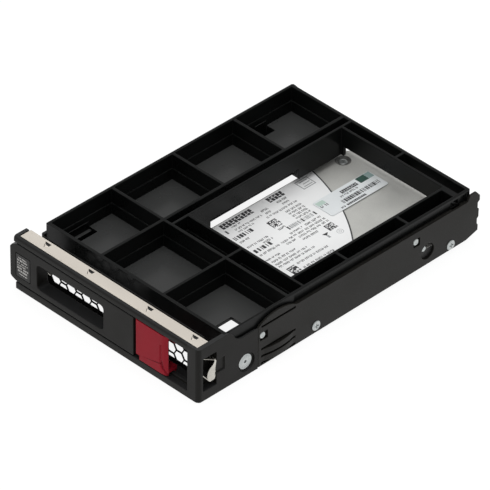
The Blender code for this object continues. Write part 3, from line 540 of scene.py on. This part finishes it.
def contact_strip():
    """The top strip as bent sheet, with its four lanced tabs standing at their holes."""
    low, high = extent("emi_strip")
    top = high.z - 0.2
    under = top - 0.25
    fold = high.y - 0.3
    profile = ((low.y, top), (low.y, under), (fold, under), (fold, low.z), (high.y, low.z), (high.y, top))
    holes, tabs = [], []
    for x in LANCES_X:
        holes.append(prism("z", ((x - 1.9, 6.55), (x + 1.6, 6.55), (x + 1.6, 4.95), (x + 0.3, 4.8),
                                 (x - 0.95, 5.55)), top - 1, top + 1))
        holes.append(prism("z", ((x - 1.1, 5.35), (x - 0.75, 5.45), (x + 0.5, 3.6), (x + 0.25, 3.45)),
                           top - 1, top + 1))
        tabs.append(raised(((x + 0.55, 3.5), (x + 1.5, 4.85), (x + 0.3, 4.75), (x - 0.85, 5.4)),
                           top - 0.1, (top, top + 0.06, high.z, high.z - 0.02)))
    piece("contact_strip_sheet", [prism("x", profile, low.x, high.x)], LOOKS["strip_steel"],
          nodes=["emi_strip"], cut=holes, bevel=0.07)
    piece("contact_strip_tabs", tabs, LOOKS["strip_steel"], slot="strip_steel")


def side_contact():
    """The folded finger in the post's slot: a shelf on top, a leaf that widens down, a curled foot."""
    steel = LOOKS["spring_steel"]
    shelf = [(-3.15, 17.2, 6.0, 9.8), (-2.3, 17.2, 6.9, 9.8), (-1.3, 17.1, 8.0, 9.85)]
    face = [(-0.55, 16.9, 8.8, 9.9), (-0.28, 16.2, 9.0, 9.9), (-0.4, 14.9, 8.2, 9.9),
            (-0.6, 13.4, 6.6, 9.9), (-0.72, 11.4, 5.7, 9.9), (-0.62, 9.6, 5.5, 9.85),
            (-0.5, 8.2, 6.2, 9.6)]
    foot = [(-0.6, 7.3, 7.1, 8.9), (-1.1, 6.9, 7.3, 8.6), (-2.2, 7.2, 7.2, 8.6), (-3.1, 7.9, 7.0, 8.8)]
    flange = [(-1.5, 3.1, 12.0), (-1.1, 4.3, 10.6), (-0.75, 5.4, 9.2), (-0.6, 6.4, 7.9),
              (-0.75, 7.4, 7.1)]
    piece("side_contact_flange", [swept(spline(flange, 5), 0.22)], steel, slot="spring_steel",
          angle=60.0)
    piece("side_contact_leaf", [leaf(spline(shelf + face + foot, 5), 0.2)], steel,
          nodes=["side_spring"], angle=50.0)


# ---------------------------------------------------------------- lever and latch

def lever():
    """The lever, and its label with rows of marks that spell nothing."""
    dressed("lever", "lever_body", 0.25, body="lever")
    low, high = extent("lever_label")
    film = rounded(low.x, high.x, low.z, high.z, 0.4)
    piece("lever_label_film", [prism("y", film, low.y, high.y)], LOOKS["label_black"], body="lever",
          nodes=["lever_label"])
    chance = random.Random(4)
    marks = []
    # Each row is its height up the label, its marks' height, and its start and end.
    rows = ((16.3, 0.55, -102.9, -98.1), (15.1, 0.8, -103.3, -97.2), (13.7, 0.6, -103.4, -101.6),
            (13.7, 0.6, -100.9, -97.0), (12.5, 0.6, -103.3, -98.7), (11.3, 0.8, -103.4, -100.8),
            (11.3, 0.8, -99.9, -97.1), (9.9, 0.9, -103.0, -97.6), (8.4, 0.55, -102.4, -97.8))
    for z, height, start, end in rows:
        x = start
        while x < end - 0.3:
            wide = chance.uniform(0.3, 0.65)
            drop = chance.choice((0.0, 0.0, 0.15))
            marks.append(box(x, min(x + wide, end), low.y - 0.03, low.y + 0.05,
                             z - height / 2 + drop, z + height / 2))
            x += wide + chance.choice((0.16, 0.2, 0.45))
    piece("lever_label_marks", marks, PALE_INK, body="lever", slot="label_black")


def latch():
    """The latch with its finger groove, which runs down the face and turns out to the lower corner."""
    groove = [(-21.3, -0.12, 17.3), (-21.3, -0.08, 14.0), (-21.3, -0.05, 10.5), (-21.0, -0.02, 8.2),
              (-20.2, 0.12, 6.6), (-18.9, 0.5, 5.1), (-17.2, 1.05, 3.4)]
    dressed("release_latch", "latch_body", 0.22, cut=[swept(spline(groove, 6), 0.5)], body="latch")


# ---------------------------------------------------------------- fasteners

def seated(name, side):
    """A turned piece's tip and face along x, and its axis's y and z. It looks along side, 1 or -1."""
    low, high = extent(name)
    tip, face = (low.x, high.x) if side > 0 else (high.x, low.x)
    return tip, face, middle(name).y, middle(name).z


def cross_slots(y, z, face, side):
    """A cross recess, cut from a face that looks along x."""
    reach, width, depth = 1.15, 0.26, 0.42
    ends = sorted((face - side * depth, face + side * 0.5))
    shapes = []
    for wide_y, wide_z in ((reach, width), (width, reach)):
        outline = ((y - wide_y, z - wide_z), (y + wide_y, z - wide_z), (y + wide_y, z + wide_z),
                   (y - wide_y, z + wide_z))
        shapes.append(prism("x", outline, *ends))
    return shapes


def side_screws():
    """Pan-head cross screws: a domed head on a turned rim."""
    for name, side in (("rail_screw_front", 1), ("rail_screw_rear", 1), ("bracket_screw_front", -1),
                       ("bracket_screw_rear", -1), ("left_screw", -1)):
        tip, face, y, z = seated(name, side)
        seat = face - side * 0.5
        profile = [(0.9, tip), (1.35, tip + side * 0.5), (1.35, seat), (2.17, seat),
                   (2.2, seat + side * 0.08), (2.2, seat + side * 0.22), (2.06, seat + side * 0.37),
                   (1.8, seat + side * 0.46), (1.35, seat + side * 0.5)]
        cuts = cross_slots(y, z, face, side)
        cuts.append(turned("x", y, z, ((0.5, face - side * 0.38), (0.75, face + side * 0.2)), 24))
        piece(f"{name}_head", [turned("x", y, z, profile)], LOOKS["zinc"], nodes=[name], cut=cuts,
              angle=28.0)


def arm_screws():
    """Flat countersunk screws with turning rings on the head and a six-lobed recess."""
    for name, side in (("arm_screw_right", 1), ("arm_screw_left", -1)):
        tip, face, y, z = seated(name, side)
        shank = face - side * 1.25
        profile = [(1.0, tip), (1.4, tip + side * 0.5), (1.4, shank), (1.55, shank),
                   (3.36, face - side * 0.16), (3.45, face - side * 0.06), (3.36, face)]
        for radius in (2.95, 2.4, 1.85):
            profile += [(radius, face), (radius - 0.1, face - side * 0.06), (radius - 0.2, face)]
        lobes = []
        for k in range(48):
            t = 2 * math.pi * k / 48
            radius = 0.68 + 0.12 * math.cos(6 * t)
            lobes.append((y + radius * math.cos(t), z + radius * math.sin(t)))
        recess = prism("x", lobes, *sorted((face - side * 0.8, face + side * 0.5)))
        piece(f"{name}_head", [turned("x", y, z, profile)], LOOKS["zinc"], nodes=[name], cut=[recess],
              angle=28.0)


def cover_screws():
    """The drive's four cover screws, each over a darker cone of painted shade in its dished recess."""
    face = extent("ssd_cover")[1].z
    for number in range(1, 5):
        name = f"cover_screw_{number}"
        low, high = extent(name)
        x, y = middle(name).x, middle(name).y
        top = high.z
        profile = [(0.6, low.z), (0.82, low.z + 0.4), (0.82, top - 0.45), (1.8, top - 0.45),
                   (1.85, top - 0.38), (1.85, top - 0.22), (1.7, top - 0.08), (1.4, top)]
        cuts = [box(x - 0.95, x + 0.95, y - 0.2, y + 0.2, top - 0.28, top + 1),
                box(x - 0.2, x + 0.2, y - 0.95, y + 0.95, top - 0.28, top + 1)]
        piece(f"{name}_head", [turned("z", x, y, profile, 32)], LOOKS["zinc"], nodes=[name], cut=cuts,
              angle=28.0)
        # A darker cone laid in each dish: painted shade on the recess's steep walls.
        floor = top - 0.43
        dish_shade_ring = [(1.9, floor), (2.1, floor), (3.32, face - 0.02), (3.42, face + 0.03),
                  (3.25, face + 0.03), (2.05, floor + 0.05), (1.9, floor + 0.05)]
        piece(f"{name}_dish", [turned("z", x, y, dish_shade_ring, 40)], LOOKS["dish_shade"], slot="drive_alloy",
              angle=50.0)


def pins_and_nuts():
    """The rails' studs, the locating pin, the lever's pin and the square nuts."""
    for name, side in (("right_rivet_front", 1), ("right_rivet_rear", 1), ("left_rivet_front", -1),
                       ("left_rivet_rear", -1)):
        tip, face, y, z = seated(name, side)
        profile = [(1.0, tip), (1.1, tip + side * 0.1), (1.1, face - side * 0.6),
                   (1.5, face - side * 0.55), (1.5, face - side * 0.25), (1.38, face - side * 0.1),
                   (1.1, face), (0.6, face), (0.4, face - side * 0.15)]
        piece(f"{name}_stud", [turned("x", y, z, profile, 32)], LOOKS["zinc"], nodes=[name], angle=35.0)
    tip, face, y, z = seated("locating_pin", 1)
    profile = [(0.7, tip), (0.75, tip + 0.1), (0.75, face - 0.65), (1.22, face - 0.62),
               (1.25, face - 0.55), (1.25, face - 0.3), (1.12, face - 0.12), (0.8, face - 0.02),
               (0.4, face)]
    piece("locating_pin_stud", [turned("x", y, z, profile, 32)], LOOKS["zinc"], nodes=["locating_pin"])
    low, high = extent("lever_pin")
    x, y = middle("lever_pin").x, middle("lever_pin").y
    profile = [(0.8, low.z), (0.98, low.z + 0.3), (0.98, high.z - 0.3), (0.8, high.z)]
    piece("lever_pin_rod", [turned("z", x, y, profile, 32)], LOOKS["zinc"], nodes=["lever_pin"])
    for name in ("arm_nut_left", "arm_nut_right", "left_nut"):
        dressed(name, f"{name}_block", 0.1)


# ---------------------------------------------------------------- tray and rails

def tray_and_rails():
    """The tray, and the rails stepped up to the bezel's arms, with black strips behind their slits as
    painted shade.
    """
    dressed("tray", "tray_moulding", 0.26)
    for name, outer, inner in (("right_rail", -0.02, -0.98), ("left_rail", -104.48, -103.52)):
        step = box(*sorted((outer, inner)), 32.85, 33.4, 0.6, 20.0)
        dressed(name, f"{name}_plate", 0.1, joined=[step])
    # Black strips behind the rails' slits: painted shade that makes the slits read darker.
    for name, x in (("right_rail_liner", -1.32), ("left_rail_liner", -103.38)):
        piece(name, [box(x, x + 0.2, SLITS_FRONT, SLITS_REAR, 0.9, 20.2)], LOOKS["label_black"],
              slot="label_black")


# ---------------------------------------------------------------- drive

def drive():
    """The drive's shells and electronics, a painted highlight along its cover's rear edge, a dark patch
    on its side, and its contacts.
    """
    dressed("ssd_base", "drive_base", 0.15)
    dressed("ssd_cover", "drive_cover", 0.3, segments=3)
    low, high = extent("ssd_cover")
    # A light strip along the cover's rear edge: a painted highlight where the rounded edge catches the
    # light.
    edge = ((high.y - 0.75, high.z + 0.01), (high.y - 0.75, high.z - 0.3),
            (high.y - 0.02, high.z - 0.35), (high.y - 0.2, high.z - 0.06))
    piece("drive_cover_highlight", [prism("x", edge, low.x + 3, high.x - 3)], LOOKS["painted_edge_highlight"],
          slot="drive_alloy", angle=40.0)
    # A thin black box that darkens part of the drive's side.
    side = extent("ssd_base")[1].x
    film = box(side + 0.01, side + 0.13, 121.5, 134.5, 1.6, 8.2)
    piece("drive_side_dark_patch", [film], LOOKS["label_black"], slot="label_black")
    dressed("sata_connector", "connector_housing", 0.08)
    contacts = []
    rear = extent("sata_connector")[1].y - 0.3
    pitch = 1.27
    for x0, count in ((-44.9, 15), (-20.3, 7)):
        for i in range(count):
            x = x0 + pitch * i
            contacts.append(box(x, x + 0.7, 151.5, rear, 5.32, 5.45))
    piece("connector_contacts", contacts, LOOKS["contact_gold"], slot="contact_gold")
    for name in ("circuit_board", "contact_strip", "controller_chip", "thermal_pad", "memory_chip",
                 "flash_chip_1", "flash_chip_2", "flash_chip_3", "flash_chip_4",
                 "capacitor_1", "capacitor_2", "capacitor_3", "capacitor_4"):
        dressed(name, f"{name}_body", 0.08)


def springs():
    """The latch's coil, which on the real carrier shortens as the latch slides, here built at one fixed
    length, and the lever's torsion spring.
    """
    turns, steps, radius, wire_radius = 7, 16, 1.0, 0.22
    low, high = extent("latch_spring")
    y, z = middle("latch_spring").y, middle("latch_spring").z
    path = []
    for i in range(turns * steps + 1):
        t = 2 * math.pi * i / steps
        x = low.x + wire_radius + (high.x - low.x - 2 * wire_radius) * i / (turns * steps)
        path.append((x, y + radius * math.cos(t), z + radius * math.sin(t)))
    coil = piece("latch_spring_coil", [swept(path, wire_radius, 8)], LOOKS["spring_steel"],
                 nodes=["latch_spring"], angle=60.0)
    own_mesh(coil)
    dressed("lever_spring", "lever_spring_coil", 0.0, body="lever", angle=70.0)


# ---------------------------------------------------------------- printing

class Printing:
    """Flat marks on a label: bars, blocks and rows of block glyphs that spell nothing."""

    def __init__(self, z, seed):
        self.z = z
        self.chance = random.Random(seed)
        self.shapes = []

    def block(self, x0, x1, y0, y1):
        self.shapes.append(box(x0, x1, y0, y1, self.z - PRINT_HALF, self.z + PRINT_HALF))

    def patch(self, outline):
        self.shapes.append(prism("z", outline, self.z - PRINT_HALF, self.z + PRINT_HALF))

    def row(self, x, y0, y1, height, glyph=0.62, weight=0.84):
        """Block glyphs along y, in words, each with a stem and now and then a bar across."""
        y = y0
        while y < y1 - glyph * 0.5:
            for _ in range(self.chance.randint(2, 6)):
                if y >= y1 - glyph * 0.5:
                    break
                tall = height * self.chance.choice((1.0, 1.0, 0.7))
                self.block(x, x + tall, y, y + glyph * weight * 0.5)
                if self.chance.random() < 0.75:
                    level = self.chance.choice((0.0, 0.4, 0.75)) * height
                    self.block(x + level, x + level + height * 0.26, y + glyph * weight * 0.5,
                               y + glyph * weight)
                y += glyph
            y += glyph * 0.8

    def bold_row(self, x, y0, y1, height, glyph):
        """Heavy block glyphs: each is nearly solid, with a small notch or two."""
        y = y0
        while y + glyph * 0.8 < y1:
            wide = glyph * 0.82
            notch = self.chance.choice((0.25, 0.45, 0.6)) * height
            self.block(x, x + notch, y, y + wide)
            past = x + notch + 0.16 * height
            self.block(x + notch, past, y, y + wide * self.chance.choice((0.35, 0.6)))
            self.block(past, x + height, y, y + wide)
            y += glyph

    def bars(self, x0, x1, y0, y1, narrow=0.2):
        """A bar code's look: bars of random width along y, with no code in them."""
        y = y0
        while y < y1 - narrow:
            wide = narrow * self.chance.choice((1, 1, 2, 3))
            self.block(x0, x1, y, min(y + wide, y1))
            y += wide + narrow * self.chance.choice((1, 1, 2))

    def squares(self, x0, x1, y0, y1, cells):
        """A chequered patch of random cells."""
        wide, deep = (x1 - x0) / cells, (y1 - y0) / cells
        for i in range(cells):
            for k in range(cells):
                if self.chance.random() < 0.55 or i == 0 or k == 0:
                    self.block(x0 + i * wide, x0 + (i + 1) * wide - 0.02, y0 + k * deep,
                               y0 + (k + 1) * deep - 0.02)

    def outline(self, x0, x1, y0, y1, line):
        self.block(x0, x1, y0, y0 + line)
        self.block(x0, x1, y1 - line, y1)
        self.block(x0, x0 + line, y0 + line, y1 - line)
        self.block(x1 - line, x1, y0 + line, y1 - line)

    def ring(self, x, y, radius):
        """A thin ring of short, separate strokes."""
        count, inner = 24, radius - 0.2
        for k in range(count):
            a, b = (2 * math.pi * (k + s) / count for s in (0, 0.96))
            corners = ((inner, a), (radius, a), (radius, b), (inner, b))
            self.patch([(x + r * math.cos(t), y + r * math.sin(t)) for r, t in corners])

    def finish(self, name, look, slot):
        piece(name, self.shapes, look, slot=slot)


def drive_label():
    """The large label: dark rows and patches, paler marks, and a line of painted shade along its curved
    edge, where the label steps down.
    """
    dressed("drive_label", "drive_label_film", 0.0)
    top = extent("drive_label")[1].z
    ink = Printing(top, 11)
    ink.bold_row(-69.5, 78.8, 96.8, 3.2, 1.75)
    ink.bold_row(-69.5, 105.2, 113.8, 3.2, 1.75)
    # Each row of small print is its x, where it starts and ends along y, and its glyphs' height.
    for x, y0, y1, height in (
            (-65.6, 82.2, 86.8, 1.0), (-65.2, 98.2, 102.0, 1.2), (-65.2, 107.2, 112.4, 1.2),
            (-63.5, 82.0, 96.6, 1.1), (-62.9, 98.6, 102.0, 1.1), (-62.9, 108.2, 112.0, 1.1),
            (-61.6, 82.0, 91.2, 0.9), (-60.6, 97.0, 105.0, 1.1), (-60.6, 105.6, 113.8, 1.1)):
        ink.row(x, y0, y1, height, 0.62)
    for x in (-58.1, -56.1, -54.1, -52.1):
        ink.row(x, 105.2, 113.7, 1.25, 0.6)
    for y in (98.0, 106.0, 112.9):
        ink.block(-50.2, -47.9, y, y + 0.75)
    ink.squares(-57.7, -52.7, 94.2, 99.1, 12)
    for x, y0, y1 in (
            (-51.7, 94.7, 99.5), (-46.5, 96.2, 103.2), (-46.5, 104.7, 113.7), (-44.4, 77.2, 88.2),
            (-44.4, 89.2, 113.7), (-42.4, 90.2, 95.2), (-42.4, 97.2, 109.2), (-42.4, 110.2, 113.7),
            (-40.1, 97.2, 106.2), (-56.1, 77.4, 82.4), (-51.6, 77.2, 89.2), (-49.6, 84.2, 89.2),
            (-40.1, 75.2, 84.2), (-37.9, 77.4, 90.7), (-35.6, 77.2, 95.2), (-33.6, 77.2, 97.2),
            (-30.4, 84.2, 101.7), (-26.8, 84.2, 102.2)):
        ink.row(x, y0, y1, 1.2, 0.66)
    ink.bars(-59.8, -57.5, 77.2, 87.9, 0.42)
    ink.bars(-48.2, -45.9, 77.2, 87.2, 0.42)
    ink.patch(((-36.5, 104.8), (-34.7, 106.0), (-36.3, 107.9)))
    ink.block(-65.2, -63.0, 78.0, 78.8)
    ink.squares(-40.2, -36.0, 109.2, 113.7, 12)
    ink.squares(-30.3, -25.3, 78.2, 82.7, 10)
    ink.finish("drive_label_print", INK, "label_black")
    pale = Printing(top, 12)
    pale.outline(-69.2, -63.2, 121.4, 128.4, 0.45)
    for x, y0, y1 in ((-68.0, 122.8, 127.4), (-66.4, 123.6, 127.4), (-64.8, 122.8, 127.4)):
        pale.block(x, x + 0.5, y0, y1)
    pale.ring(-33.2, 111.9, 1.5)
    pale.ring(-33.2, 111.9, 0.7)
    pale.block(-34.7, -33.0, 105.6, 106.6)
    pale.bars(-50.2, -47.9, 99.2, 105.6, 0.26)
    pale.bars(-50.2, -47.9, 107.2, 112.6, 0.26)
    pale.finish("drive_label_shades", SHADE_INK, "label_paper")
    # The dark band along the label's curved edge is painted shade where the label's edge steps down into
    # a groove.
    reach = [math.degrees(math.acos((x - LABEL_ARC_CENTRE[0]) / LABEL_ARC_RADIUS)) for x in (-3.5, -70.0)]
    rim = (arc(*LABEL_ARC_CENTRE, LABEL_ARC_RADIUS - 0.02, *reach, 60)
           + arc(*LABEL_ARC_CENTRE, LABEL_ARC_RADIUS - 0.62, *reversed(reach), 60))
    piece("drive_label_edge_shade", [prism("z", rim, top - 0.02, top + 0.015)], INK, slot="label_black")


def sticker():
    """The small sticker, with its bars, rows and three coloured patches."""
    dressed("barcode_sticker", "sticker_film", 0.0)
    top = extent("barcode_sticker")[1].z
    ink = Printing(top, 21)
    ink.bold_row(-52.2, 130.4, 140.4, 2.0, 1.05)
    ink.row(-49.7, 128.2, 138.2, 1.1, 0.6)
    ink.bars(-47.4, -45.1, 126.3, 147.4, 0.3)
    ink.bold_row(-44.1, 126.4, 137.6, 1.15, 0.9)
    ink.row(-44.1, 123.2, 125.4, 1.1, 0.8)
    ink.row(-50.3, 117.4, 121.4, 1.4, 0.9)
    ink.finish("sticker_print", INK, "label_black")
    for name, look, rect in (("sticker_teal", TEAL_INK, (-53.8, -50.1, 145.8, 148.7)),
                             ("sticker_green", GREEN_INK, (-53.8, -50.1, 141.0, 145.7)),
                             ("sticker_mint", MINT_INK, (-53.0, -50.5, 117.2, 121.4))):
        patch = Printing(top, 22)
        patch.block(*rect)
        patch.finish(name, look, "sticker_paper")


# ---------------------------------------------------------------- studio

def studio():
    """A white floor that shines a little by itself, an even sky and two soft lamps."""
    floor = mesh_object("floor", [box(-2500, 2400, -2400, 2500, -3.0, -0.05)])
    look = finish("floor_paper", (0.13, 0.13, 0.13), (0.12, 0.12, 0.12), 0.8, specular=0.1, cloud=6.0,
                  grain=300.0, relief=0.02)
    shader = look.node_tree.nodes["Principled BSDF"]
    shader.inputs["Emission Color"].default_value = (1.0, 1.0, 1.0, 1.0)
    shader.inputs["Emission Strength"].default_value = 0.9
    floor.data.materials.append(look)
    world = bpy.data.worlds.new("studio")
    world.use_nodes = True
    background = world.node_tree.nodes["Background"]
    background.inputs["Color"].default_value = (1.0, 1.0, 1.0, 1.0)
    background.inputs["Strength"].default_value = 0.6
    bpy.context.scene.world = world
    for name, place_mm, size, power in (("overhead", (-40, 60, 900), 700, 4.2),
                                        ("front_softbox", (500, -700, 700), 500, 0.8)):
        lamp = bpy.data.lights.new(name, "AREA")
        lamp.size = size * MM
        lamp.energy = power
        holder = bpy.data.objects.new(name, lamp)
        holder.location = point(*place_mm)
        aim = point(-52, 75, 10) - holder.location
        holder.rotation_euler = aim.to_track_quat("-Z", "Y").to_euler()
        bpy.context.scene.collection.objects.link(holder)
    bpy.context.scene.view_settings.view_transform = "Standard"


def camera():
    """A long lens at 45 degrees to the right of the front and 37 degrees up."""
    azimuth, elevation, roll = (math.radians(a) for a in (CAMERA_AZIMUTH, CAMERA_ELEVATION, CAMERA_ROLL))
    level = math.cos(elevation)
    back = Vector((math.sin(azimuth) * level, -math.cos(azimuth) * level, math.sin(elevation)))
    right = Vector((math.cos(azimuth), math.sin(azimuth), 0.0))
    up = back.cross(right)
    place_mm = right * CAMERA_RIGHT + up * CAMERA_UP + back * CAMERA_BACK
    side = right * math.cos(roll) + up * math.sin(roll)
    top = up * math.cos(roll) - right * math.sin(roll)
    data = bpy.data.cameras.new("camera")
    data.sensor_width = SENSOR
    data.lens = SENSOR * FOCAL_LENGTH_PIXELS / PICTURE_PIXELS
    data.clip_start = 0.1
    data.clip_end = 20.0
    holder = bpy.data.objects.new("camera", data)
    bpy.context.scene.collection.objects.link(holder)
    turn = Matrix((side, top, back)).transposed().to_4x4()
    holder.matrix_world = Matrix.Translation(point(*place_mm)) @ turn
    bpy.context.scene.camera = holder


bezel()
contact_strip()
side_contact()
lever()
latch()
side_screws()
arm_screws()
cover_screws()
pins_and_nuts()
tray_and_rails()
drive()
springs()
drive_label()
sticker()
studio()
camera()
